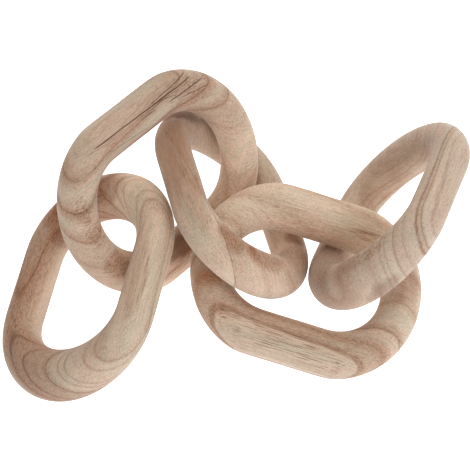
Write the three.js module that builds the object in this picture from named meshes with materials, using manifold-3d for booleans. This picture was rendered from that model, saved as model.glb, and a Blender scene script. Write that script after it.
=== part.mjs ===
import * as THREE from 'three';
import { mergeVertices } from 'three/addons/utils/BufferGeometryUtils.js';
import Module from 'manifold-3d';

// A loose chain of five closed wooden links, carved through one another and lying on a table.
// Millimetres and degrees. +Z is up, the table is at Z = 0 and the origin is under the chain's middle.
//
// A link is a closed loop of oval section: two straight bars joined by two round ends, its head at +X
// and its foot at -X of its own frame. length and width are over everything. wide is measured across
// the wood in the plane of the loop, deep square to that plane. flat is how deep the outer side of each
// bar is planed. A link is laid down by its middle, the heading of its head on the table, how far the
// head dips and its roll about its own length.
const LEFT_LINK = {
  name: 'left_link', tone: 0xc8ae94,
  length: 151, width: 98.7, flat: 1.3,
  bar: { wide: 20.8, deep: 25.4 }, head: { wide: 29.7, deep: 24.5 }, foot: { wide: 30.7, deep: 28.7 },
  middle: { x: -88.4, y: -26.5, z: 34.3 }, heading: 76.6, dip: -7.5, roll: 151.7,
};
const UPPER_LINK = {
  name: 'upper_link', tone: 0xcbb19b,
  length: 154, width: 108.2, flat: 1.3,
  bar: { wide: 26, deep: 19.8 }, head: { wide: 25.2, deep: 21 }, foot: { wide: 23.9, deep: 22.4 },
  middle: { x: -45.7, y: 32.5, z: 57.2 }, heading: 49.7, dip: 6.4, roll: 50.8,
};
const MIDDLE_LINK = {
  name: 'middle_link', tone: 0xb99d87,
  length: 150.7, width: 94.4, flat: 1.3,
  bar: { wide: 19.9, deep: 23.2 }, head: { wide: 28.1, deep: 26 }, foot: { wide: 25.4, deep: 26.2 },
  middle: { x: -3.9, y: 29.1, z: 40.7 }, heading: -77, dip: -10.3, roll: 138.7,
};
const LOWER_LINK = {
  name: 'lower_link', tone: 0xccb196,
  length: 139.8, width: 105, flat: 1.4,
  bar: { wide: 29.4, deep: 22 }, head: { wide: 24.6, deep: 23.7 }, foot: { wide: 22.7, deep: 25 },
  middle: { x: 40.2, y: -22.4, z: 31.4 }, heading: -12.3, dip: 12.8, roll: -159.2,
};
const RIGHT_LINK = {
  name: 'right_link', tone: 0xc9af95,
  length: 153.8, width: 96, flat: 1.3,
  bar: { wide: 18.9, deep: 24.5 }, head: { wide: 27.9, deep: 26.4 }, foot: { wide: 28.4, deep: 28.6 },
  middle: { x: 90.6, y: 15.8, z: 46.5 }, heading: 69.8, dip: 12.6, roll: 130.3,
};
const LINKS = [LEFT_LINK, UPPER_LINK, MIDDLE_LINK, LOWER_LINK, RIGHT_LINK];

// Links that lean on each other, and links that lie on the table.
const LEANING = [
  [LEFT_LINK, UPPER_LINK], [UPPER_LINK, MIDDLE_LINK], [MIDDLE_LINK, LOWER_LINK],
  [LOWER_LINK, RIGHT_LINK], [MIDDLE_LINK, RIGHT_LINK],
];
const ON_TABLE = [LEFT_LINK, MIDDLE_LINK, LOWER_LINK, RIGHT_LINK];
const CLEARANCE = 0.4;
const REST_FLAT = 0.5;

// The ends swell out of the bars as this power of the way round the quarter bend.
const SWELL_POWER = 1.7;

// How finely the loops are faceted.
const STEPS_PER_END = 22;
const STEPS_PER_BAR = 2;
const SECTION_SIDES = 18;

// How finely and how often the links are measured against each other while they are laid down.
const MEASURES_PER_END = 48;
const MEASURES_PER_BAR = 12;
const SETTLING_ROUNDS = 150;

const BARE_WOOD = { roughness: 0.78, metalness: 0 };

const wasm = await Module();
wasm.setup();

// Points round the middle line of a loop, anticlockwise from the start of the head's bend. Each has the
// direction that points out of the loop and the half sizes of the wood's oval section.
function stationsOf(link, stepsPerEnd, stepsPerBar) {
  const bend = link.width / 2 + link.flat - link.bar.wide / 2;
  const halfBar = (link.length - link.head.wide / 2 - link.foot.wide / 2) / 2 - bend;
  const stations = [];
  for (const [end, side] of [[link.head, 1], [link.foot, -1]]) {
    for (let step = 0; step <= stepsPerEnd; step += 1) {
      const angle = Math.PI * (step / stepsPerEnd - side / 2);
      const out = new THREE.Vector3(Math.cos(angle), Math.sin(angle), 0);
      const swell = Math.abs(out.x) ** SWELL_POWER;
      stations.push({
        middle: new THREE.Vector3(side * halfBar, 0, 0).addScaledVector(out, bend),
        out,
        halfWide: THREE.MathUtils.lerp(link.bar.wide, end.wide, swell) / 2,
        halfDeep: THREE.MathUtils.lerp(link.bar.deep, end.deep, swell) / 2,
      });
    }
    for (let step = 1; step < stepsPerBar; step += 1) {
      stations.push({
        middle: new THREE.Vector3(side * halfBar * (1 - 2 * step / stepsPerBar), side * bend, 0),
        out: new THREE.Vector3(0, side, 0),
        halfWide: link.bar.wide / 2,
        halfDeep: link.bar.deep / 2,
      });
    }
  }
  return stations;
}

// The carved loop before any flat is cut: the oval section carried round the middle line.
function loopGeometry(link) {
  const stations = stationsOf(link, STEPS_PER_END, STEPS_PER_BAR);
  const positions = [];
  for (const { middle, out, halfWide, halfDeep } of stations) {
    for (let side = 0; side < SECTION_SIDES; side += 1) {
      const angle = 2 * Math.PI * side / SECTION_SIDES;
      const point = middle.clone().addScaledVector(out, halfWide * Math.cos(angle));
      positions.push(point.x, point.y, halfDeep * Math.sin(angle));
    }
  }
  const indices = [];
  for (let at = 0; at < stations.length; at += 1) {
    const here = at * SECTION_SIDES;
    const next = (at + 1) % stations.length * SECTION_SIDES;
    for (let side = 0; side < SECTION_SIDES; side += 1) {
      const beside = (side + 1) % SECTION_SIDES;
      indices.push(here + side, next + side, next + beside, here + side, next + beside, here + beside);
    }
  }
  const geometry = new THREE.BufferGeometry();
  geometry.setAttribute('position', new THREE.Float32BufferAttribute(positions, 3));
  geometry.setIndex(indices);
  return geometry;
}

function solidOf(geometry) {
  const bare = geometry.clone();
  bare.deleteAttribute('normal');
  bare.deleteAttribute('uv');
  const merged = mergeVertices(bare);
  return new wasm.Manifold(new wasm.Mesh({
    numProp: 3,
    vertProperties: Float32Array.from(merged.attributes.position.array),
    triVerts: Uint32Array.from(merged.index.array),
  }));
}

function geometryOf(solid) {
  const { vertProperties, triVerts } = solid.getMesh();
  const geometry = new THREE.BufferGeometry();
  geometry.setAttribute('position', new THREE.Float32BufferAttribute(vertProperties, 3));
  geometry.setIndex(Array.from(triVerts));
  geometry.computeVertexNormals();
  return geometry;
}

// A link's frame as it is first laid down, before the links settle against each other.
function layDown(link) {
  const frame = new THREE.Object3D();
  frame.position.set(link.middle.x, link.middle.y, link.middle.z);
  const [roll, dip, heading] = [link.roll, link.dip, link.heading].map(THREE.MathUtils.degToRad);
  frame.rotation.set(roll, dip, heading, 'ZYX');
  frame.updateMatrix();
  const upright = new THREE.Vector3(0, 0, 1).applyQuaternion(frame.quaternion);
  const measures = stationsOf(link, MEASURES_PER_END, MEASURES_PER_BAR).map((station) => ({
    middle: station.middle.clone().applyQuaternion(frame.quaternion),
    wide: station.out.clone().applyQuaternion(frame.quaternion).multiplyScalar(station.halfWide),
    deep: upright.clone().multiplyScalar(station.halfDeep),
    size: Math.max(station.halfWide, station.halfDeep),
  }));
  return { link, frame, measures };
}

// How far the wood at one measure reaches from its middle line in a direction.
function reach(measure, direction) {
  return Math.hypot(measure.wide.dot(direction), measure.deep.dot(direction));
}

// The narrowest place between two laid links: its gap, and the direction from the first to the second.
function narrowest(first, second) {
  const apart = second.frame.position.clone().sub(first.frame.position);
  const span = new THREE.Vector3();
  let found = { gap: Infinity, direction: null };
  for (const here of first.measures) {
    for (const there of second.measures) {
      span.copy(there.middle).add(apart).sub(here.middle);
      const distance = span.length();
      if (distance - here.size - there.size < found.gap) {
        const direction = span.clone().divideScalar(distance);
        const gap = distance - reach(here, direction) - reach(there, direction);
        if (gap < found.gap) found = { gap, direction };
      }
    }
  }
  return found;
}

function lowestPoint(laid) {
  const up = new THREE.Vector3(0, 0, 1);
  const heights = laid.measures.map((measure) => measure.middle.z - reach(measure, up));
  return laid.frame.position.z + Math.min(...heights);
}

// Slides the laid links, without turning them, until those that lean on each other are a clearance
// apart, no two are closer, and those that lie on the table are pressed into it by the rest flat.
function settle(allLaid) {
  const pairs = allLaid.flatMap((first, at) => allLaid.slice(at + 1).map((second) => [first, second]));
  for (let round = 0; round < SETTLING_ROUNDS; round += 1) {
    for (const [first, second] of pairs) {
      const { gap, direction } = narrowest(first, second);
      const leaning = LEANING.some((pair) => pair.includes(first.link) && pair.includes(second.link));
      if (leaning || gap < CLEARANCE) {
        first.frame.position.addScaledVector(direction, (gap - CLEARANCE) / 2);
        second.frame.position.addScaledVector(direction, (CLEARANCE - gap) / 2);
      }
    }
    for (const laid of allLaid.filter(({ link }) => ON_TABLE.includes(link))) {
      laid.frame.position.z -= lowestPoint(laid) + REST_FLAT;
    }
  }
}

// The finished link: the loop with the outer side of its bars planed and its resting spots flat.
function linkMesh({ link, frame }) {
  const span = 4 * link.length;
  const planed = new THREE.BoxGeometry(span, link.width, span);
  frame.updateMatrix();
  const aboveTable = new THREE.BoxGeometry(span, span, span).translate(frame.position.x, frame.position.y, span / 2);
  aboveTable.applyMatrix4(frame.matrix.clone().invert());
  const solid = solidOf(loopGeometry(link)).intersect(solidOf(planed)).intersect(solidOf(aboveTable));
  const mesh = new THREE.Mesh(geometryOf(solid), new THREE.MeshStandardMaterial({ color: link.tone, ...BARE_WOOD }));
  mesh.name = link.name;
  mesh.position.copy(frame.position);
  mesh.quaternion.copy(frame.quaternion);
  return mesh;
}

const laidLinks = LINKS.map(layDown);
settle(laidLinks);

const chain = new THREE.Group();
chain.name = 'carved_chain';
for (const laid of laidLinks) chain.add(linkMesh(laid));
const extent = new THREE.Box3().setFromObject(chain, true);
const middle = extent.getCenter(new THREE.Vector3());
chain.position.set(-middle.x, -middle.y, 0);
chain.updateMatrixWorld(true);

export default chain;
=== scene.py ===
"""A loose chain of five carved wooden links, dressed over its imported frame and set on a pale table."""

import logging
import math
from dataclasses import dataclass, field
from enum import Enum

import bpy
from mathutils import Euler, Matrix, Vector

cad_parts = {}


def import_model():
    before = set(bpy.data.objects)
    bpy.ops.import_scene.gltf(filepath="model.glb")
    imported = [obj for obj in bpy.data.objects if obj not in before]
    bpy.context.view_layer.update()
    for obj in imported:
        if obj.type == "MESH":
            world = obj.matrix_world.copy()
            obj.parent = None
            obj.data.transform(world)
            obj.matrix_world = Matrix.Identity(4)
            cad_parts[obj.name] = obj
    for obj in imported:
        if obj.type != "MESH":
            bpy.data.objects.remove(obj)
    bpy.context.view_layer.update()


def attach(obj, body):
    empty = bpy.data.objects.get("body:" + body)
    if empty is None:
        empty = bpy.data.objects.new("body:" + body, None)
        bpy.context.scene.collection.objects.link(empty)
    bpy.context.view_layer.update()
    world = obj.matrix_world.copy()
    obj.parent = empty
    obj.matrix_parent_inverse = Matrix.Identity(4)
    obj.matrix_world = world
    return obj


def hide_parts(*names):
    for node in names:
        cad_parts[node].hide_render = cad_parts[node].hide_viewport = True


LOG = logging.getLogger("carved_chain")
MM = 0.001
NOISE_MIDDLE = 0.5


class Term:
    """One shader socket that can be used in a Python expression on values."""

    def __init__(self, sheet: "Sheet", socket: bpy.types.NodeSocket) -> None:
        """Wraps the output socket that holds the value, with the sheet that new nodes go on."""
        self.sheet = sheet
        self.socket = socket

    def _math(self, operation: str, *values: object) -> "Term":
        """Adds a Math node with terms or numbers as its inputs."""
        return self.sheet.node("ShaderNodeMath", {"operation": operation}, dict(enumerate(values)))

    def __add__(self, other: object) -> "Term":
        """Adds a term or number."""
        return self._math("ADD", self, other)

    __radd__ = __add__

    def __sub__(self, other: object) -> "Term":
        """Takes a term or number away."""
        return self._math("SUBTRACT", self, other)

    def __rsub__(self, other: object) -> "Term":
        """Takes this term away from a number."""
        return self._math("SUBTRACT", other, self)

    def __mul__(self, other: object) -> "Term":
        """Multiplies by a term or number."""
        return self._math("MULTIPLY", self, other)

    __rmul__ = __mul__

    def __truediv__(self, other: object) -> "Term":
        """Divides by a term or number."""
        return self._math("DIVIDE", self, other)

    def __rtruediv__(self, other: object) -> "Term":
        """Divides a number by this term."""
        return self._math("DIVIDE", other, self)

    def __pow__(self, power: float) -> "Term":
        """Raises to a power."""
        return self._math("POWER", self, power)

    def __abs__(self) -> "Term":
        """Drops the sign."""
        return self._math("ABSOLUTE", self)

    def fraction(self) -> "Term":
        """Keeps what follows the point."""
        return self._math("FRACT", self)

    def centred(self) -> "Term":
        """Takes the middle of a noise away, so that it swings about 0."""
        return self - NOISE_MIDDLE

    def between(self, low: float, high: float) -> "Term":
        """Rises smoothly from 0 at low to 1 at high, or falls where low is the larger."""
        settings = {"interpolation_type": "SMOOTHSTEP", "clamp": True}
        return self.sheet.node("ShaderNodeMapRange", settings, {0: self, 1: low, 2: high, 3: 0.0, 4: 1.0})


class Sheet:
    """The node tree of one material, with the few ways of adding to it."""

    def __init__(self, material: bpy.types.Material) -> None:
        """Clears a material's tree and gives it its output and main shader.

        Args:
            material: The material to write on.
        """
        material.use_nodes = True
        self.tree = material.node_tree
        self.tree.nodes.clear()
        output = self.tree.nodes.new("ShaderNodeOutputMaterial")
        self.shader = self.tree.nodes.new("ShaderNodeBsdfPrincipled")
        self.tree.links.new(self.shader.outputs[0], output.inputs["Surface"])

    def feed(self, target: bpy.types.NodeSocket, value: object) -> None:
        """Links a term to a socket or sets the socket's own value.

        Args:
            target: The input socket.
            value: A term, number, colour or vector.
        """
        if isinstance(value, Term):
            self.tree.links.new(value.socket, target)
        else:
            target.default_value = value

    def dress(self, values: dict) -> None:
        """Feeds the main shader.

        Args:
            values: Terms, numbers or colours by the names of the shader's sockets.
        """
        for name, value in values.items():
            self.feed(self.shader.inputs[name], value)

    def node(self, kind: str, settings: dict, inputs: dict, output: object = 0) -> Term:
        """Adds any node.

        Args:
            kind: The node's type.
            settings: Its attributes; "stops" are a ramp's (place, brightness) pairs.
            inputs: Values or terms by socket index or name.
            output: The index or name of the wanted output.

        Returns:
            The wanted output.
        """
        made = self.tree.nodes.new(kind)
        for name, value in settings.items():
            if name == "stops":
                self._set_stops(made.color_ramp, value)
            else:
                setattr(made, name, value)
        for socket, value in inputs.items():
            self.feed(made.inputs[socket], value)
        return Term(self, made.outputs[output])

    @staticmethod
    def _set_stops(ramp: bpy.types.ColorRamp, stops: list) -> None:
        """Writes a grey ramp.

        Args:
            ramp: The ramp.
            stops: (place, brightness) pairs in order.
        """
        while len(ramp.elements) > 1:
            ramp.elements.remove(ramp.elements[-1])
        for index, (place, value) in enumerate(stops):
            stop = ramp.elements[0] if index == 0 else ramp.elements.new(place)
            stop.position = place
            stop.color = (value, value, value, 1.0)

    def mix(self, share: object, first: object, second: object) -> Term:
        """Mixes two colours, where the share is how much of the second shows."""
        return self.node("ShaderNodeMix", {"data_type": "RGBA", "clamp_factor": True},
                         {0: share, 6: first, 7: second}, 2)

    def shade(self, colour: Term, amount: object) -> Term:
        """Multiplies each channel of a colour by an amount."""
        return self.node("ShaderNodeVectorMath", {"operation": "SCALE"}, {0: colour, "Scale": amount})

    def point(self, x: object, y: object, z: object) -> Term:
        """Joins three values into a vector."""
        return self.node("ShaderNodeCombineXYZ", {}, {0: x, 1: y, 2: z})

    def noise(self, place: Term, detail: float, roughness: float) -> Term:
        """Adds a noise of one unit's scale, with a number of finer layers and their strength."""
        return self.node("ShaderNodeTexNoise", {"noise_dimensions": "3D"},
                         {"Vector": place, "Scale": 1.0, "Detail": detail, "Roughness": roughness})


class Axis(Enum):
    """A direction in a link's own frame, by its place in a vector."""

    ALONG = 0
    ACROSS = 1
    UPRIGHT = 2


@dataclass(frozen=True)
class Spot:
    """The spot of a link that is being shaded, in the link's own frame and in millimetres.

    Attributes:
        along: Its place along the link, towards the head.
        across: Its place across the link.
        upright: Its place square to the link's plane.
    """

    along: Term
    across: Term
    upright: Term

    @classmethod
    def on(cls, sheet: Sheet, middle: Vector, turn: Euler) -> "Spot":
        """Turns the place in the chain's frame into the spot on a link.

        Args:
            sheet: The sheet of the link's material.
            middle: The link's middle, in metres.
            turn: The link's turn.

        Returns:
            The spot.
        """
        here = sheet.node("ShaderNodeTexCoord", {}, {}, "Object")
        frame = sheet.node("ShaderNodeMapping", {"vector_type": "TEXTURE"},
                           {"Vector": here, "Location": middle, "Rotation": turn, "Scale": (MM, MM, MM)})
        return cls(*(sheet.node("ShaderNodeSeparateXYZ", {}, {0: frame}, axis.value) for axis in Axis))


class WoodNoise:
    """The noises in one link's wood, stretched along its fibres, which all its marks share."""

    def __init__(self, sheet: Sheet, spot: Spot, seed: float) -> None:
        """Reads every noise, those of the broad figure first and those of the fine grain last.

        Args:
            sheet: The sheet of the link's material.
            spot: The spot that is shaded.
            seed: Where in the endless noise the link's plank is cut.
        """
        self.sheet = sheet
        self.spot = spot
        self.seed = seed
        self.slow = self._layer(Axis.ALONG, long=50.0, thick=24.0)
        self.quick = self._layer(Axis.ACROSS, long=14.0, thick=6.0, detail=2.0)
        self.patches = self._layer(Axis.UPRIGHT, long=34.0, thick=20.0, detail=2.0)
        self.bands = self._layer(Axis.ALONG, long=90.0, thick=4.2, detail=2.0)
        self.bundles = self._layer(Axis.ACROSS, long=40.0, thick=7.0, slide=5.0)
        self.faint = self._layer(Axis.UPRIGHT, long=24.0, thick=9.0, slide=9.0)
        self.threads = self._layer(Axis.UPRIGHT, long=20.0, thick=0.65)
        self.fibres = self._layer(Axis.UPRIGHT, long=18.0, thick=0.45)
        self.vessels = self._layer(Axis.ACROSS, long=3.2, thick=0.62)
        self.curls = self._layer(Axis.UPRIGHT, long=2.4, thick=1.5, detail=0.0)
        self.fuzz = self._layer(Axis.UPRIGHT, long=1.3, thick=0.75, detail=2.0, roughness=0.75)

    def _layer(self, cut: Axis, long: float, thick: float, detail: float = 1.0, roughness: float = 0.5,
               slide: float = 0.0) -> Term:
        """Reads one noise.

        Args:
            cut: The axis on which each plank is cut from its own part of the noise.
            long: How long its marks are along the link, in millimetres.
            thick: How thick they are.
            detail: How many finer layers it has.
            roughness: How strong the finer layers are.
            slide: How far it is slid along, so that it doesn't follow another noise.

        Returns:
            The noise, from 0 to 1 about its middle.
        """
        places = [self.spot.along / long, self.spot.across / thick, self.spot.upright / thick]
        if slide:
            places[Axis.ALONG.value] += slide
        places[cut.value] += self.seed
        return self.sheet.noise(self.sheet.point(*places), detail, roughness)


@dataclass(frozen=True)
class Ring:
    """One growth ring of a plank, in millimetres from its pith.

    Attributes:
        radius: Where its thin dark line lies.
        line: How dark the line is, from 0 to 1.
        zone: How brown and porous the wood at the line is, from 0 to 1.
        inward: How far towards the pith that brown wood fades out.
        outward: How far towards the bark it fades out.
    """

    radius: float
    line: float
    zone: float
    inward: float
    outward: float

    def edges(self) -> tuple:
        """Lists where the brown wood starts, is darkest and ends."""
        return self.radius - self.inward, self.radius, self.radius + self.outward

    def browning(self, place: float) -> float:
        """Gives how brown this ring makes the wood at a distance from the pith."""
        off = place - self.radius
        return self.zone * max(0.0, 1.0 - (off / self.outward if off > 0.0 else -off / self.inward))


@dataclass(frozen=True)
class Plank:
    """How the wood of one link lay in its tree, in the link's own frame and in millimetres.

    Attributes:
        pith_across: Where the tree's pith passes the link's middle, across the link.
        pith_upright: The same, square to the link's plane.
        lean_across: How far the pith leans across the link for each millimetre along it.
        lean_upright: The same, square to the link's plane.
        rings: The rings that show.
        seed: Where in the endless noise this plank is cut.
        streaks: How dark its fine straight fibre streaks are, from 0 to 1.
        ring_fade: How much weaker the rings grow for each millimetre towards the link's head, or
            stronger where it is negative.
        fade_along: How much lighter the wood grows for each millimetre towards the link's head.
        fade_across: The same, for each millimetre across the link.
        margin: How far the ramps of the rings reach past the first and the last ring.
        line_inward: How far towards the pith a ring's line fades out.
        line_outward: How far towards the bark it fades out.
    """

    pith_across: float
    pith_upright: float
    lean_across: float
    lean_upright: float
    rings: tuple
    seed: float
    streaks: float
    ring_fade: float = 0.0
    fade_along: float = 0.0
    fade_across: float = 0.0
    margin: float = 14.0
    line_inward: float = 0.3
    line_outward: float = 0.6

    def span(self) -> tuple:
        """Gives the least and greatest distance from the pith that the ramps cover."""
        radii = [ring.radius for ring in self.rings]
        return min(radii) - self.margin, max(radii) + self.margin

    def line_stops(self) -> list:
        """Lists the ramp stops of the thin dark lines, which are sharper on the pith's side.

        Returns:
            (place, brightness) pairs.
        """
        low, high = self.span()
        marks = [(low, 0.0)]
        for ring in self.rings:
            if ring.line > 0.0:
                marks += [(ring.radius - self.line_inward, 0.0), (ring.radius, ring.line),
                          (ring.radius + self.line_outward, 0.0)]
        return [((place - low) / (high - low), value) for place, value in sorted(marks)]

    def zone_stops(self) -> list:
        """Lists the ramp stops of the brown porous wood, where the rings' shares add up.

        Returns:
            (place, brightness) pairs.
        """
        low, high = self.span()
        places = sorted({edge for ring in self.rings for edge in ring.edges()})
        return [((place - low) / (high - low), min(1.0, sum(ring.browning(place) for ring in self.rings)))
                for place in places if low <= place <= high]

    def growth(self, spot: Spot, strays: list) -> Term:
        """Gives how far from the pith the wood at a spot grew.

        Args:
            spot: The spot.
            strays: The terms by which the rings stray from circles there, in millimetres.

        Returns:
            The distance in millimetres.
        """
        pith_across = self.pith_across + self.lean_across * spot.along
        pith_upright = self.pith_upright + self.lean_upright * spot.along
        grown = ((spot.across - pith_across) ** 2.0 + (spot.upright - pith_upright) ** 2.0) ** 0.5
        for stray in strays:
            grown = grown + stray
        return grown

    def read(self, stops: list, growth: Term) -> Term:
        """Reads a ramp of the rings at a distance from the pith."""
        low, high = self.span()
        return growth.sheet.node("ShaderNodeValToRGB", {"stops": stops}, {0: (growth - low) / (high - low)})


@dataclass(frozen=True)
class Crack:
    """An open grain line on one face of a link, in the link's frame and in millimetres.

    Attributes:
        start: Where it starts along the link.
        end: Where it ends along the link.
        across: Where it lies across the link at the link's middle.
        lean: How far it moves across for each millimetre along.
        width: How far to each side it fades out.
        darkness: How dark it is.
        core: The share of its width that is fully dark.
        stray: How far a noise from 0 to 1 moves it across.
        tip_beyond: How far past its start and end its tips fade out.
        tip_within: How far inside them it is at full strength.
        rim: How high above the link's middle plane it is at full strength, from nothing in that plane.
    """

    start: float
    end: float
    across: float
    lean: float
    width: float
    darkness: float
    core: float = 0.5
    stray: float = 1.0
    tip_beyond: float = 2.0
    tip_within: float = 5.0
    rim: float = 2.0

    def mark(self, spot: Spot, wander: Term) -> Term:
        """Gives 1 in the crack and 0 beside it.

        Args:
            spot: The spot that is shaded.
            wander: A noise that lets the line stray.

        Returns:
            The crack's mask.
        """
        off = abs(spot.across - self.across - self.lean * spot.along + wander.centred() * self.stray)
        begun = spot.along.between(self.start - self.tip_beyond, self.start + self.tip_within)
        unended = spot.along.between(self.end + self.tip_beyond, self.end - self.tip_within)
        line = off.between(self.width, self.width * self.core)
        return line * (begun * unended) * spot.upright.between(0.0, self.rim)


@dataclass(frozen=True)
class StainAndPaintedShade:
    """A patch on a link, in the link's frame and in millimetres: other wood, with painted shade where its
    shade is positive and painted light where it is negative.

    Attributes:
        place: Its middle.
        reach: How far it goes along, across and square to the link.
        brown: How much browner it is, up to 1, or paler where it is negative; in a patch of painted shade,
            its brown is part of that painted shade.
        shade: Painted shade that darkens it, up to 1, or painted light where it is negative.
        pores: How much darker its pores are, from 0 to 1.
        streaks: How much darker its fine fibre streaks are, from 0 to 1.
        fray: How much a noise from 0 to 1 moves its edge.
        edge: The squared distances, in reaches, where it starts and where it is full.
    """

    place: tuple
    reach: tuple
    brown: float = 0.0
    shade: float = 0.0
    pores: float = 0.0
    streaks: float = 0.0
    fray: float = 1.6
    edge: tuple = (1.6, 0.1)

    def mark(self, spot: Spot, wander: Term) -> Term:
        """Gives 1 in the middle of the patch and 0 beyond it.

        Args:
            spot: The spot that is shaded.
            wander: A noise that frays its edge.

        Returns:
            The patch's mask.
        """
        off = wander.centred() * self.fray
        for term, middle, reach in zip((spot.along, spot.across, spot.upright), self.place, self.reach):
            off = off + ((term - middle) / reach) ** 2.0
        return off.between(*self.edge)


@dataclass(frozen=True)
class Figure:
    """What the wood of a link shows at the spot that is shaded.

    Attributes:
        growth: How far from the pith it grew, in millimetres.
        line: Where the ring lines run, from 0 to 1.
        strength: How strongly the rings show there.
        zone: How brown and porous it is.
        streaks: How dark its fibre streaks are.
        pores: How dark its open pores are.
        flecks: How dark the curled flecks of its open grain are.
        light: How light it is, with the painted shade and painted light of the patches.
    """

    growth: Term
    line: Term
    strength: Term
    zone: Term
    streaks: Term
    pores: Term
    flecks: Term
    light: Term


@dataclass(frozen=True)
class BareWood:
    """Raw sanded wood: pale tan with growth rings, fine fibres and open pores.

    What is called an edge is a pair of values of a noise: where a mark starts and where it is full.

    Attributes:
        pale: The late wood's colour.
        rosy: The pinker wood that lies in bands and patches.
        brown: The porous early wood.
        umber: The ring lines, the fibre streaks and the flecks.
        dark: The pores and cracks.
        strays: How far the slow, the quick and the fuzz noise let the rings stray, in millimetres.
        band_edge: The edge of the rosy bands.
        band_rosy: How rosy the bands are.
        patch_edge: The edge of the rosy patches.
        patch_rosy: How rosy the patches are.
        brown_least: How brown the brown wood is at least.
        brown_fuzz: How much that rises with the specks.
        brown_bands: How much that rises with the bands.
        year_width: How far apart the faint years between the rings lie, in millimetres.
        year_slip: By how many years the patches shift them.
        year_edge: The edge of a faint year.
        year_patch_edge: The edge of the patches that show faint years.
        year_brown: How brown they are.
        bundle_edge: The edge of the bundles in which fibre streaks lie.
        fibre_edge: The edge of one streak.
        faint_edge: The edge of where ring lines are whole.
        line_least: How much of a ring line is left elsewhere.
        plain_pores: How dark pores and flecks are in plain wood.
        zone_pores: How much darker they are in the brown wood.
        pore_edge: The edge of a pore.
        fleck_edge: The edge of a fleck, as distances from the middle of its noise.
        mark_strength: How fully pores and flecks cover the wood.
        light: How light the wood is at least, and what the bands, the threads and the fuzz add.
        roughness: How matt the sanded face is.
        rough_threads: How much that changes with the threads.
        rough_zone: How much more matt the brown wood is.
        gloss: How strongly the face mirrors.
        sheen: How much light its down of cut fibres catches.
        sheen_roughness: How soft that light is.
        sheen_tint: The colour of that light.
        bump_threads: How high the threads stand, in millimetres before bump_strength.
        bump_fuzz: How high the specks stand.
        bump_pores: How deep the pores are.
        bump_line: How deep the ring lines are.
        bump_strength: How strongly all that relief shows.
    """

    pale: tuple = (0.585, 0.48, 0.36, 1.0)
    rosy: tuple = (0.60, 0.44, 0.335, 1.0)
    brown: tuple = (0.36, 0.165, 0.085, 1.0)
    umber: tuple = (0.20, 0.085, 0.04, 1.0)
    dark: tuple = (0.12, 0.045, 0.03, 1.0)
    strays: tuple = (1.2, 0.8, 0.45)
    band_edge: tuple = (0.34, 0.6)
    band_rosy: float = 0.6
    patch_edge: tuple = (0.4, 0.6)
    patch_rosy: float = 0.4
    brown_least: float = 0.3
    brown_fuzz: float = 0.6
    brown_bands: float = 0.4
    year_width: float = 2.7
    year_slip: float = 4.0
    year_edge: tuple = (0.55, 0.98)
    year_patch_edge: tuple = (0.45, 0.62)
    year_brown: float = 0.22
    bundle_edge: tuple = (0.36, 0.6)
    fibre_edge: tuple = (0.52, 0.66)
    faint_edge: tuple = (0.3, 0.55)
    line_least: float = 0.55
    plain_pores: float = 0.15
    zone_pores: float = 0.45
    pore_edge: tuple = (0.5, 0.6)
    fleck_edge: tuple = (0.08, 0.02)
    mark_strength: float = 0.7
    light: tuple = (0.44, 0.28, 0.32, 0.52)
    roughness: float = 0.76
    rough_threads: float = 0.16
    rough_zone: float = 0.1
    gloss: float = 0.25
    sheen: float = 0.24
    sheen_roughness: float = 0.3
    sheen_tint: tuple = (0.95, 0.97, 1.0, 1.0)
    bump_threads: float = 0.10
    bump_fuzz: float = 0.12
    bump_pores: float = 0.25
    bump_line: float = 0.06
    bump_strength: float = 0.6

    def _figure(self, spot: Spot, noise: WoodNoise, link: "CarvedLink") -> Figure:
        """Works out what a link's wood shows.

        Args:
            spot: The spot that is shaded.
            noise: The noises of the link's wood.
            link: The link.

        Returns:
            The wood's figure at the spot.
        """
        plank = link.plank
        wanders = zip((noise.slow, noise.quick, noise.fuzz), self.strays)
        growth = plank.growth(spot, [wander.centred() * reach for wander, reach in wanders])
        strength = 1.0 - plank.ring_fade * spot.along
        zone = plank.read(plank.zone_stops(), growth) * strength
        streaks = noise.bundles.between(*self.bundle_edge) * plank.streaks
        speckle = self.zone_pores * zone + self.plain_pores
        light = link.tone * (1.0 + plank.fade_along * spot.along + plank.fade_across * spot.across)
        for stain_and_shade in link.stains_and_painted_shade:
            mark = stain_and_shade.mark(spot, noise.quick)
            zone = zone + mark * stain_and_shade.brown
            speckle = speckle + mark * stain_and_shade.pores
            streaks = streaks + mark * stain_and_shade.streaks
            # Painted shade, and painted light where a patch's shade is negative.
            light = light * (1.0 - mark * stain_and_shade.shade)
        return Figure(
            growth=growth, line=plank.read(plank.line_stops(), growth), strength=strength,
            zone=zone, streaks=streaks, pores=noise.vessels.between(*self.pore_edge) * speckle,
            flecks=abs(noise.curls.centred()).between(*self.fleck_edge) * speckle, light=light)

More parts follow.
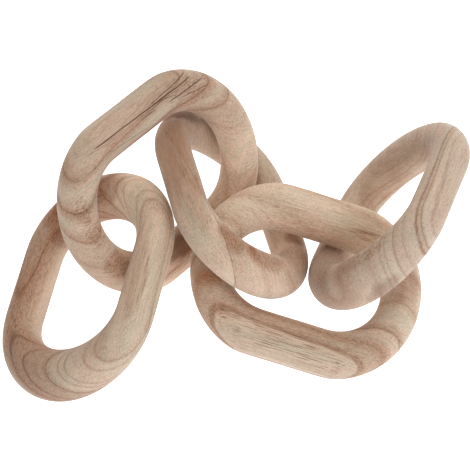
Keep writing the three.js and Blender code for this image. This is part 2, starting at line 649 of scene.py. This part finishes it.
    def _colour(self, noise: WoodNoise, figure: Figure) -> Term:
        """Lays the marks of the wood over one another, from the broad figure to the pores.

        Args:
            noise: The noises of the link's wood.
            figure: What the wood shows.

        Returns:
            The wood's colour before cracks and shading.
        """
        rosiness = (noise.bands.between(*self.band_edge) * self.band_rosy
                    + noise.patches.between(*self.patch_edge) * self.patch_rosy)
        browning = figure.zone * (self.brown_least + self.brown_fuzz * noise.fuzz
                                  + self.brown_bands * noise.bands)
        year = (figure.growth / self.year_width + noise.patches * self.year_slip).fraction()
        years = year.between(*self.year_edge) * noise.patches.between(*self.year_patch_edge)
        whole = self.line_least + (1.0 - self.line_least) * noise.faint.between(*self.faint_edge)
        mix = noise.sheet.mix
        wood = mix(rosiness, self.pale, self.rosy)
        wood = mix(browning, wood, self.brown)
        wood = mix(years * self.year_brown, wood, self.brown)
        wood = mix(noise.fibres.between(*self.fibre_edge) * figure.streaks, wood, self.umber)
        wood = mix(figure.line * figure.strength * whole, wood, self.umber)
        wood = mix(figure.flecks * self.mark_strength, wood, self.umber)
        return mix(figure.pores * self.mark_strength, wood, self.dark)

    def material(self, name: str, link: "CarvedLink") -> bpy.types.Material:
        """Makes the wood of one link.

        Args:
            name: The material's name.
            link: The link.

        Returns:
            The material.
        """
        made = bpy.data.materials.new(name)
        sheet = Sheet(made)
        spot = Spot.on(sheet, link.middle, link.turn)
        noise = WoodNoise(sheet, spot, link.plank.seed)
        figure = self._figure(spot, noise, link)
        wood = self._colour(noise, figure)
        for crack in link.cracks:
            wood = sheet.mix(crack.mark(spot, noise.quick) * crack.darkness, wood, self.dark)
        least, by_bands, by_threads, by_fuzz = self.light
        light = figure.light * (least + by_bands * noise.bands + by_threads * noise.threads
                                + by_fuzz * noise.fuzz)
        relief = (noise.threads.centred() * self.bump_threads + noise.fuzz.centred() * self.bump_fuzz
                  - figure.pores * self.bump_pores - figure.line * self.bump_line)
        sheet.dress({
            "Base Color": sheet.shade(wood, light),
            "Roughness": (self.roughness + self.rough_threads * noise.threads.centred()
                          + self.rough_zone * figure.zone),
            "Specular IOR Level": self.gloss,
            "Sheen Weight": self.sheen,
            "Sheen Roughness": self.sheen_roughness,
            "Sheen Tint": self.sheen_tint,
            "Normal": sheet.node("ShaderNodeBump", {},
                                 {"Strength": self.bump_strength, "Distance": MM, "Height": relief}),
        })
        return made


@dataclass(frozen=True)
class Section:
    """The oval section of the wood at one place of a loop.

    Attributes:
        wide: Its size in the plane of the loop.
        deep: Its size square to that plane.
    """

    wide: float
    deep: float


@dataclass
class CarvedLink:
    """One closed link, carved in one piece: two straight bars joined by two swelling round ends.

    Attributes:
        name: The CAD node that it stands for.
        length: Its length over all.
        width: Its width over all.
        flat: How deep the outer side of each bar is planed.
        bar: The section of its bars.
        head: The section at the middle of its head, at +X.
        foot: The section at the middle of its foot, at -X.
        middle: Where its middle lies.
        heading: The heading of its head on the table, in degrees.
        dip: How far its head dips, in degrees.
        roll: Its roll about its own length, in degrees.
        plank: How its wood lay in the tree.
        tone: How light its wood is beside the others'.
        cracks: Its open grain lines.
        stains_and_painted_shade: Its patches of other wood, of painted shade and of painted light.
        wood: Its wood's colours and grain.
        swell_power: The power of the way round the bend by which the ends swell.
        section_sides: How many sides its section is first given.
        end_steps: How many steps each round end is first given.
        wood_grid: The step of the grid that its mesh is made on. With 0.8 mm, where planed faces lay
            exactly on the grid, the number of its faces differed from run to run.
        rounding: How often its edges are smoothed.
        rounding_share: How far each smoothing goes.
        tool_wander: How deep a hand tool takes its faces down at most.
        wander_scale: How far apart the hand tool's hollows lie.
        crisp: The angle past which an edge stays crisp, in degrees.
        weld: How close points are that are made one.
        snap: How close to a cut points are that are taken to lie on it.
        made: Its mesh, once it is built.
    """

    name: str
    length: float
    width: float
    flat: float
    bar: Section
    head: Section
    foot: Section
    middle: Vector
    heading: float
    dip: float
    roll: float
    plank: Plank
    tone: float
    cracks: tuple = ()
    stains_and_painted_shade: tuple = ()
    wood: BareWood = field(default_factory=BareWood)
    swell_power: float = 1.7
    section_sides: int = 96
    end_steps: int = 64
    wood_grid: float = 0.79 * MM
    rounding: int = 8
    rounding_share: float = 0.5
    tool_wander: float = 0.25 * MM
    wander_scale: float = 24.0 * MM
    crisp: float = 50.0
    weld: float = 0.01 * MM
    snap: float = 0.001 * MM
    made: bpy.types.Object = field(default=None, init=False)

    @property
    def bend(self) -> float:
        """Gives the radius of the middle line round the ends."""
        return self.width / 2 + self.flat - self.bar.wide / 2

    @property
    def half_bar(self) -> float:
        """Gives half the length of the straight bars."""
        return (self.length - self.head.wide / 2 - self.foot.wide / 2) / 2 - self.bend

    @property
    def turn(self) -> Euler:
        """Gives the link's turn."""
        return Euler([math.radians(angle) for angle in (self.roll, self.dip, self.heading)], "XYZ")

    def _loop(self) -> bpy.types.Object:
        """Spins the oval section of a bar round both ends.

        Returns:
            The plain closed loop, in the link's own frame.
        """
        bpy.ops.object.select_all(action="DESELECT")
        start = (self.half_bar, -self.bend, 0.0)
        bpy.ops.mesh.primitive_circle_add(vertices=self.section_sides, radius=1.0, fill_type="NOTHING",
                                          location=start, rotation=(0.0, math.pi / 2, 0.0))
        made = bpy.context.object
        made.name = f"{self.name}_carved"
        bpy.ops.object.transform_apply(location=True, rotation=True, scale=True)
        bpy.ops.object.mode_set(mode="EDIT")
        bpy.ops.mesh.select_all(action="SELECT")
        bpy.ops.transform.resize(value=(1.0, self.bar.wide / 2, self.bar.deep / 2), center_override=start)
        for side in (1, -1):
            bpy.ops.mesh.spin(steps=self.end_steps, angle=-math.pi, center=(side * self.half_bar, 0.0, 0.0),
                              axis=(0.0, 0.0, 1.0))
            bpy.ops.mesh.extrude_region_move(
                TRANSFORM_OT_translate={"value": (-side * 2 * self.half_bar, 0.0, 0.0)})
        bpy.ops.mesh.select_all(action="SELECT")
        bpy.ops.mesh.remove_doubles(threshold=self.weld)
        bpy.ops.mesh.normals_make_consistent(inside=False)
        bpy.ops.object.mode_set(mode="OBJECT")
        return made

    def _swell(self, made: bpy.types.Object) -> None:
        """Swells the ends out of the bars, more the further round the bend, which no operator grades.

        Args:
            made: The plain loop.
        """
        for vertex in made.data.vertices:
            beyond = abs(vertex.co.x) - self.half_bar
            if beyond <= 0.0:
                continue
            side = math.copysign(1.0, vertex.co.x)
            end = self.head if side > 0 else self.foot
            out = Vector((side * beyond, vertex.co.y, 0.0))
            share = (beyond / out.length) ** self.swell_power
            wide = 1.0 + share * (end.wide / self.bar.wide - 1.0)
            deep = 1.0 + share * (end.deep / self.bar.deep - 1.0)
            radial = self.bend + (out.length - self.bend) * wide
            out = out.normalized() * radial
            vertex.co = (side * self.half_bar + out.x, out.y, vertex.co.z * deep)

    def _slice(self, place: tuple, outwards: tuple) -> None:
        """Cuts away what lies outside a plane and closes the cut.

        Args:
            place: A point of the plane.
            outwards: The direction of what is cut away.
        """
        bpy.ops.object.mode_set(mode="EDIT")
        bpy.ops.mesh.select_all(action="SELECT")
        bpy.ops.mesh.bisect(plane_co=place, plane_no=outwards, use_fill=True, clear_outer=True,
                            threshold=self.snap)
        bpy.ops.object.mode_set(mode="OBJECT")

    def _sand(self, made: bpy.types.Object) -> None:
        """Rounds the planed edges over and lets the faces wander as a hand tool leaves them.

        Args:
            made: The planed loop.
        """
        remesh = made.modifiers.new("even_grid", "REMESH")
        remesh.mode = "VOXEL"
        remesh.voxel_size = self.wood_grid
        smooth = made.modifiers.new("sanding", "SMOOTH")
        smooth.factor = self.rounding_share
        smooth.iterations = self.rounding
        waves = bpy.data.textures.new(f"{self.name}_waves", "CLOUDS")
        waves.noise_scale = self.wander_scale
        wander = made.modifiers.new("tool_wander", "DISPLACE")
        wander.texture = waves
        wander.texture_coords = "LOCAL"
        wander.mid_level = 1.0
        wander.strength = self.tool_wander
        for modifier in list(made.modifiers):
            bpy.ops.object.modifier_apply(modifier=modifier.name)

    def build(self) -> bpy.types.Object:
        """Makes the link's mesh where the link lies.

        Returns:
            The link.
        """
        made = self._loop()
        self._swell(made)
        for side in (1, -1):
            self._slice((0.0, side * self.width / 2, 0.0), (0.0, side, 0.0))
        self._sand(made)
        made.matrix_world = Matrix.Translation(self.middle) @ self.turn.to_matrix().to_4x4()
        bpy.ops.object.transform_apply(location=True, rotation=True, scale=True)
        self._slice((0.0, 0.0, 0.0), (0.0, 0.0, -1.0))
        bpy.ops.object.shade_smooth_by_angle(angle=math.radians(self.crisp))
        self.made = made
        return made

    def dress(self) -> None:
        """Gives the link its wood, hangs it on the root body and hides the CAD node that it stands for."""
        self.made.data.materials.clear()
        self.made.data.materials.append(self.wood.material(f"{self.name}_wood", self))
        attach(self.made, "root")
        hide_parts(self.name)


def oval(wide: float, deep: float) -> Section:
    """Gives a section from its sizes in millimetres."""
    return Section(wide * MM, deep * MM)


# Below, a ring is written as its radius, line, zone, inward and outward, and a crack as its start, end,
# across, lean, width and darkness, in that order.


def left_link() -> CarvedLink:
    """Describes the link at the far left, with long loops of grain round its head.

    Returns:
        The link.
    """
    rings = (Ring(97.0, 0.2, 0.5, 6.0, 5.0), Ring(117.0, 0.85, 0.85, 9.5, 10.0),
             Ring(121.6, 0.7, 0.35, 1.0, 3.0), Ring(126.0, 0.0, 0.4, 3.0, 3.0),
             Ring(129.0, 0.55, 0.6, 2.2, 2.4), Ring(133.5, 0.4, 0.1, 1.0, 1.5),
             Ring(135.9, 0.4, 0.1, 1.0, 2.0), Ring(142.3, 0.35, 0.15, 1.0, 2.0),
             Ring(145.6, 0.4, 0.3, 1.0, 4.0))
    # The patch at (33, -29, -2) is painted shadow where the upper link crosses, its brown the brown of that
    # shadow, and the small shade of the patch at (60, 2, -12) is painted shade too; the two patches with
    # negative shade are painted light on the head and the foot.
    stains_and_painted_shade = (StainAndPaintedShade((60.0, 2.0, -12.0), (12.0, 12.0, 10.0), brown=0.65, shade=0.05, pores=0.3),
              StainAndPaintedShade((33.0, -29.0, -2.0), (9.0, 9.0, 8.0), brown=0.35, shade=0.18),
              StainAndPaintedShade((46.0, -30.0, -12.0), (12.0, 10.0, 10.0), brown=0.5, pores=0.2),
              StainAndPaintedShade((-5.0, 44.0, -12.0), (26.0, 5.0, 6.0), brown=0.35, streaks=0.4),
              StainAndPaintedShade((68.0, 16.0, -9.0), (12.0, 14.0, 12.0), shade=-0.10),
              StainAndPaintedShade((-62.0, 24.0, -7.0), (12.0, 14.0, 10.0), shade=-0.08))
    return CarvedLink(
        name="left_link", length=151 * MM, width=98.7 * MM, flat=1.3 * MM,
        bar=oval(20.8, 25.4), head=oval(29.7, 24.5), foot=oval(30.7, 28.7),
        middle=Vector((-88.3, -26.6, 34.3)) * MM, heading=76.6, dip=-7.5, roll=151.7, tone=1.035,
        plank=Plank(pith_across=-54.3, pith_upright=104.4, lean_across=0.136, lean_upright=0.082, rings=rings,
                    seed=3.7, streaks=0.3, fade_along=0.0015, fade_across=0.0008),
        stains_and_painted_shade=stains_and_painted_shade)


def upper_link() -> CarvedLink:
    """Describes the link at the upper left, with the open grain lines.

    Returns:
        The link.
    """
    rings = (Ring(112.0, 0.2, 0.5, 5.0, 5.0), Ring(127.6, 0.2, 0.4, 3.2, 3.2),
             Ring(144.2, 0.15, 0.3, 4.0, 3.0), Ring(150.0, 0.0, 0.2, 6.0, 14.0),
             Ring(155.6, 0.5, 0.45, 1.6, 5.0), Ring(166.4, 0.6, 0.7, 5.0, 3.0),
             Ring(176.6, 0.6, 0.5, 3.5, 5.0))
    cracks = (Crack(-38.0, 47.0, 44.2, -0.012, 0.45, 1.0),
              Crack(10.0, 48.0, 44.7, 0.05, 0.36, 0.85),
              Crack(12.0, 33.0, 47.9, -0.23, 0.32, 0.7),
              Crack(24.0, 57.0, 40.2, -0.035, 0.42, 0.95),
              Crack(-2.0, 36.0, 42.8, 0.0, 0.3, 0.6),
              Crack(1.0, 13.0, 41.0, 0.0, 0.42, 0.9),
              Crack(-44.0, -20.0, 39.6, -0.105, 0.35, 0.4),
              Crack(-30.0, 8.0, 34.5, -0.088, 0.4, 0.35),
              Crack(33.0, 58.0, 43.0, -0.18, 0.4, 0.75))
    # The patch at (-14, -36, 9.5) is painted deep shadow between the links, its brown the brown of that
    # shadow; the patch at (62, -8, 6) with negative shade is painted light.
    stains_and_painted_shade = (StainAndPaintedShade((-60.0, -19.0, 11.0), (8.0, 9.0, 8.0), brown=0.5, pores=0.45),
              StainAndPaintedShade((-64.0, 22.0, 10.0), (6.0, 9.0, 6.0), brown=0.15, pores=0.3),
              StainAndPaintedShade((-64.0, 4.0, 11.0), (6.0, 9.0, 6.0), brown=0.2, pores=0.35),
              StainAndPaintedShade((-14.0, -36.0, 9.5), (14.0, 8.0, 6.0), brown=0.9, shade=0.42),
              StainAndPaintedShade((0.0, 45.0, 6.0), (46.0, 8.0, 9.0), brown=0.15),
              StainAndPaintedShade((62.0, -8.0, 6.0), (14.0, 20.0, 9.0), brown=-0.15, shade=-0.06),
              StainAndPaintedShade((43.0, 39.0, 9.0), (18.0, 6.0, 6.0), brown=0.4, pores=0.4))
    return CarvedLink(
        name="upper_link", length=154 * MM, width=108.2 * MM, flat=1.3 * MM,
        bar=oval(26, 19.8), head=oval(25.2, 21), foot=oval(23.9, 22.4),
        middle=Vector((-46.2, 32.4, 57.1)) * MM, heading=49.7, dip=6.4, roll=50.8, tone=1.07,
        plank=Plank(pith_across=-89.7, pith_upright=-109.2, lean_across=0.07, lean_upright=0.042, rings=rings,
                    seed=11.3, streaks=0.3, fade_across=-0.002),
        cracks=cracks, stains_and_painted_shade=stains_and_painted_shade)


def middle_link() -> CarvedLink:
    """Describes the darker link in the middle, with few rings.

    Returns:
        The link.
    """
    rings = (Ring(113.0, 0.15, 0.3, 4.0, 7.0), Ring(130.5, 0.08, 0.2, 4.5, 4.5),
             Ring(147.0, 0.05, 0.12, 3.0, 4.0), Ring(165.0, 0.4, 0.2, 12.0, 0.8))
    # The patches at (-53, 34, -10) and (26, -35, -10) are painted contact shadow where the upper and the
    # lower link pass, their brown the brown of that shadow; the patch at (10, 36, -14) is painted shade on
    # the inner side, with its negative brown taking away the orange of the table's light there; the small
    # positive shades of the others are painted shade and the negative ones painted light.
    stains_and_painted_shade = (StainAndPaintedShade((10.0, 36.0, -14.0), (40.0, 6.0, 8.0), brown=-0.3, shade=0.1),
              StainAndPaintedShade((55.0, 22.0, -14.0), (13.0, 12.0, 7.0), brown=0.8, shade=0.05, pores=0.3),
              StainAndPaintedShade((63.0, 2.0, -14.0), (9.0, 16.0, 6.0), brown=0.75, shade=0.05, pores=0.3),
              StainAndPaintedShade((48.0, -26.0, -12.0), (14.0, 12.0, 8.0), brown=0.5, pores=0.2),
              StainAndPaintedShade((26.0, -35.0, -10.0), (7.0, 6.0, 6.0), brown=0.7, shade=0.3),
              StainAndPaintedShade((-22.0, 42.0, -4.0), (48.0, 16.0, 14.0), brown=0.75, shade=-0.02),
              StainAndPaintedShade((28.0, 42.0, -9.0), (26.0, 9.0, 9.0), brown=0.35, shade=0.05),
              StainAndPaintedShade((-45.0, 13.0, -10.0), (7.0, 8.0, 8.0), brown=0.1, shade=-0.14),
              StainAndPaintedShade((-53.0, 34.0, -10.0), (8.0, 15.0, 10.0), brown=0.9, shade=0.38))
    return CarvedLink(
        name="middle_link", length=150.7 * MM, width=94.4 * MM, flat=1.3 * MM,
        bar=oval(19.9, 23.2), head=oval(28.1, 26), foot=oval(25.4, 26.2),
        middle=Vector((-4.3, 29.2, 40.8)) * MM, heading=-77.0, dip=-10.3, roll=138.7, tone=0.99,
        plank=Plank(pith_across=-95.7, pith_upright=-100.7, lean_across=-0.165, lean_upright=-0.082,
                    rings=rings, seed=21.9, streaks=0.35, ring_fade=-0.012, fade_along=0.002),
        stains_and_painted_shade=stains_and_painted_shade)


def lower_link() -> CarvedLink:
    """Describes the link in front, with the ring line round the flat of its bar.

    Returns:
        The link.
    """
    rings = (Ring(80.0, 0.15, 0.3, 4.0, 5.0), Ring(103.2, 1.0, 0.5, 0.8, 4.0),
             Ring(103.9, 0.5, 0.1, 0.5, 1.0), Ring(111.5, 0.0, 0.7, 8.0, 5.0),
             Ring(120.9, 0.4, 0.6, 1.2, 4.5), Ring(136.4, 0.3, 0.4, 4.0, 5.5),
             Ring(152.2, 0.1, 0.35, 4.0, 8.0), Ring(172.0, 0.15, 0.4, 5.0, 5.0))
    # The patches at (58, -14, -12) and (53, -7, -12) are painted contact shadow where the right link lies on
    # this one, with their brown; the two with negative shade are painted light along the inner edges of both
    # bars.
    stains_and_painted_shade = (StainAndPaintedShade((-59.0, 15.0, -11.0), (10.0, 10.0, 10.0), brown=0.6),
              StainAndPaintedShade((58.0, -14.0, -12.0), (9.0, 12.0, 9.0), brown=0.4, shade=0.1),
              StainAndPaintedShade((53.0, -7.0, -12.0), (5.0, 10.0, 8.0), brown=0.2, shade=0.1),
              StainAndPaintedShade((36.0, -35.0, -12.0), (20.0, 4.0, 6.0), brown=0.4, streaks=0.6),
              StainAndPaintedShade((5.0, -31.0, -6.0), (40.0, 8.0, 8.0), brown=0.25, shade=-0.06),
              StainAndPaintedShade((-42.0, 35.0, -11.0), (9.0, 5.0, 5.0), brown=0.3, streaks=0.4),
              StainAndPaintedShade((5.0, 27.0, -5.0), (44.0, 5.0, 9.0), shade=-0.07),
              StainAndPaintedShade((0.0, 41.5, -11.0), (46.0, 9.0, 6.0), streaks=0.5))
    return CarvedLink(
        name="lower_link", length=139.8 * MM, width=105 * MM, flat=1.4 * MM,
        bar=oval(29.4, 22), head=oval(24.6, 23.7), foot=oval(22.7, 25),
        middle=Vector((40.0, -22.4, 31.6)) * MM, heading=-12.3, dip=12.8, roll=-159.2, tone=1.13,
        plank=Plank(pith_across=99.2, pith_upright=-91.9, lean_across=0.288, lean_upright=0.178, rings=rings,
                    seed=33.1, streaks=0.35, fade_across=-0.002),
        stains_and_painted_shade=stains_and_painted_shade)


def right_link() -> CarvedLink:
    """Describes the link at the right, with close rings about a near pith and slightly cooler wood.

    Returns:
        The link.
    """
    rings = (Ring(8.0, 0.1, 0.5, 10.0, 18.0), Ring(28.5, 0.1, 0.25, 5.0, 4.0),
             Ring(34.8, 0.35, 0.15, 1.0, 2.0), Ring(37.4, 0.25, 0.15, 0.8, 1.6),
             Ring(42.2, 0.45, 0.25, 1.0, 5.0), Ring(47.0, 0.15, 0.2, 1.0, 3.0),
             Ring(53.0, 0.6, 0.5, 1.0, 2.0), Ring(55.0, 0.45, 0.3, 0.8, 1.2),
             Ring(58.4, 0.3, 0.15, 1.0, 5.0), Ring(66.0, 0.0, 0.3, 5.0, 3.0))
    # The patch at (-72, 18, 11) is painted shadow on the underside, where the lower link lies beneath, with
    # its brown; the small shade of the patch at (46, -16, 5) is painted shade too.
    stains_and_painted_shade = (StainAndPaintedShade((30.0, -29.0, 1.0), (22.0, 8.0, 10.0), brown=0.5),
              StainAndPaintedShade((46.0, -16.0, 5.0), (12.0, 12.0, 7.0), brown=0.35, shade=0.06),
              StainAndPaintedShade((-60.0, 16.0, -13.0), (14.0, 18.0, 2.6), brown=0.25, pores=0.25),
              StainAndPaintedShade((-56.0, -20.0, -12.0), (14.0, 8.0, 8.0), brown=0.1, pores=0.2),
              StainAndPaintedShade((-72.0, 18.0, 11.0), (9.0, 14.0, 9.0), brown=0.4, shade=0.25))
    return CarvedLink(
        name="right_link", length=153.8 * MM, width=96 * MM, flat=1.3 * MM,
        bar=oval(18.9, 24.5), head=oval(27.9, 26.4), foot=oval(28.4, 28.6),
        middle=Vector((90.5, 15.7, 46.5)) * MM, heading=69.8, dip=12.6, roll=130.3, tone=1.0,
        plank=Plank(pith_across=-7.5, pith_upright=-23.3, lean_across=0.023, lean_upright=-0.195, rings=rings,
                    seed=45.2, streaks=0.25, ring_fade=0.003),
        stains_and_painted_shade=stains_and_painted_shade, wood=BareWood(pale=(0.577, 0.48, 0.368, 1.0), rosy=(0.59, 0.44, 0.345, 1.0)))


@dataclass
class CarvedChain:
    """The links, each threaded through the next, as they were dropped on the table.

    Attributes:
        links: The links from left to right.
    """

    links: tuple

    def build(self) -> None:
        """Builds and dresses the links one after another."""
        for link in self.links:
            made = link.build()
            link.dress()
            LOG.info("%s: %d faces", made.name, len(made.data.polygons))


@dataclass
class PaleTable:
    """The plain pale table top that the chain lies on.

    Attributes:
        reach: How far it goes out from the middle.
        sides: How many sides its round has.
        sunk: How far it lies below the chain.
        colour: Its paint.
        roughness: How matt the paint is.
        gloss: How strongly the paint mirrors.
        glow: How much light it gives of itself, though it is no lamp: a painted glow that lifts the chain's
            shadows on it to near white and lights the links from below.
        glow_colour: The colour of that light.
    """

    reach: float = 6.0
    sides: int = 96
    sunk: float = 0.1 * MM
    colour: tuple = (0.93, 0.93, 0.93, 1.0)
    roughness: float = 0.9
    gloss: float = 0.0
    glow: float = 0.92
    glow_colour: tuple = (0.93, 0.98, 1.04, 1.0)

    def build(self) -> None:
        """Lays the table."""
        bpy.ops.object.select_all(action="DESELECT")
        bpy.ops.mesh.primitive_circle_add(vertices=self.sides, radius=self.reach, fill_type="NGON",
                                          location=(0.0, 0.0, -self.sunk))
        made = bpy.context.object
        made.name = "pale_table"
        bpy.ops.object.transform_apply(location=True, rotation=True, scale=True)
        paint = bpy.data.materials.new("pale_paint")
        # The table top glows though it is no lamp: painted light that whitens the shadows on it and lights
        # the chain from below.
        Sheet(paint).dress({"Base Color": self.colour, "Roughness": self.roughness,
                            "Specular IOR Level": self.gloss, "Emission Color": self.glow_colour,
                            "Emission Strength": self.glow})
        made.data.materials.append(paint)
        LOG.info("table laid")


class Stand(Enum):
    """Where a soft box stands round the table, by its heading from the chain in degrees."""

    BEHIND = 85.0
    RIGHT = 20.0
    FRONT = -60.0
    OVERHEAD = 0.0


@dataclass(frozen=True)
class SoftBox:
    """One large soft studio light that looks at the chain.

    Attributes:
        stand: Where it stands round the chain.
        height: How high it stands as seen from the chain, in degrees.
        power: Its power in watts.
        colour: The colour of its light.
        away: How far away it stands.
        wide: Its width.
        high: Its height.
    """

    stand: Stand
    height: float
    power: float
    colour: tuple = (1.04, 1.0, 0.94)
    away: float = 3.0
    wide: float = 2.6
    high: float = 1.0

    def build(self) -> None:
        """Sets the light up, out of the camera's sight."""
        heading, height = math.radians(self.stand.value), math.radians(self.height)
        spot = Vector((math.cos(height) * math.cos(heading), math.cos(height) * math.sin(heading),
                       math.sin(height))) * self.away
        name = f"box_{self.stand.name.lower()}"
        lamp = bpy.data.lights.new(name, "AREA")
        lamp.shape = "RECTANGLE"
        lamp.size = self.wide
        lamp.size_y = self.high
        lamp.energy = self.power
        lamp.color = self.colour
        made = bpy.data.objects.new(name, lamp)
        made.location = spot
        made.rotation_euler = (-spot).to_track_quat("-Z", "Y").to_euler()
        made.visible_camera = False
        bpy.context.scene.collection.objects.link(made)


@dataclass
class Studio:
    """A white room with soft boxes round the table.

    Attributes:
        room: How much light the white room gives.
        walls: The room's colour.
        boxes: Its soft boxes.
    """

    room: float = 0.32
    walls: tuple = (1.0, 1.0, 1.0, 1.0)
    boxes: tuple = (SoftBox(Stand.BEHIND, 18.0, 34.0),
                    SoftBox(Stand.RIGHT, 40.0, 9.0, (0.90, 1.0, 1.10)),
                    SoftBox(Stand.FRONT, 38.0, 34.0, (0.93, 1.0, 1.07)),
                    SoftBox(Stand.OVERHEAD, 88.0, 24.0, (1.12, 1.0, 0.84), wide=2.4, high=2.4))

    def build(self) -> None:
        """Lights the scene."""
        world = bpy.data.worlds.new("white_room")
        world.use_nodes = True
        background = world.node_tree.nodes["Background"]
        background.inputs["Color"].default_value = self.walls
        background.inputs["Strength"].default_value = self.room
        bpy.context.scene.world = world
        for box in self.boxes:
            box.build()
        bpy.context.scene.view_settings.view_transform = "Standard"
        LOG.info("studio lit by %d boxes", len(self.boxes))


@dataclass
class PhotoCamera:
    """The camera, where the photograph was taken from.

    Attributes:
        place: Where it stands.
        down: How far it looks down, in degrees.
        lens: Its focal length in millimetres.
        film: How wide its film is, in millimetres.
        sight: How far it sees.
    """

    place: tuple = (-1.9 * MM, -645.2 * MM, 967.9 * MM)
    down: float = 55.0
    lens: float = 145.35
    film: float = 36.0
    sight: float = 50.0

    def build(self) -> None:
        """Sets the camera up and makes it the scene's."""
        data = bpy.data.cameras.new("photo_camera")
        data.lens = self.lens
        data.sensor_width = self.film
        data.sensor_fit = "HORIZONTAL"
        data.clip_end = self.sight
        made = bpy.data.objects.new("photo_camera", data)
        made.location = self.place
        made.rotation_euler = (math.radians(90.0 - self.down), 0.0, 0.0)
        bpy.context.scene.collection.objects.link(made)
        bpy.context.scene.camera = made


def main() -> None:
    """Loads the frame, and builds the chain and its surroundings."""
    logging.basicConfig(level=logging.INFO, format="%(name)s: %(message)s")
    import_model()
    PhotoCamera().build()
    CarvedChain((left_link(), upper_link(), middle_link(), lower_link(), right_link())).build()
    PaleTable().build()
    Studio().build()


if __name__ == "__main__":
    main()
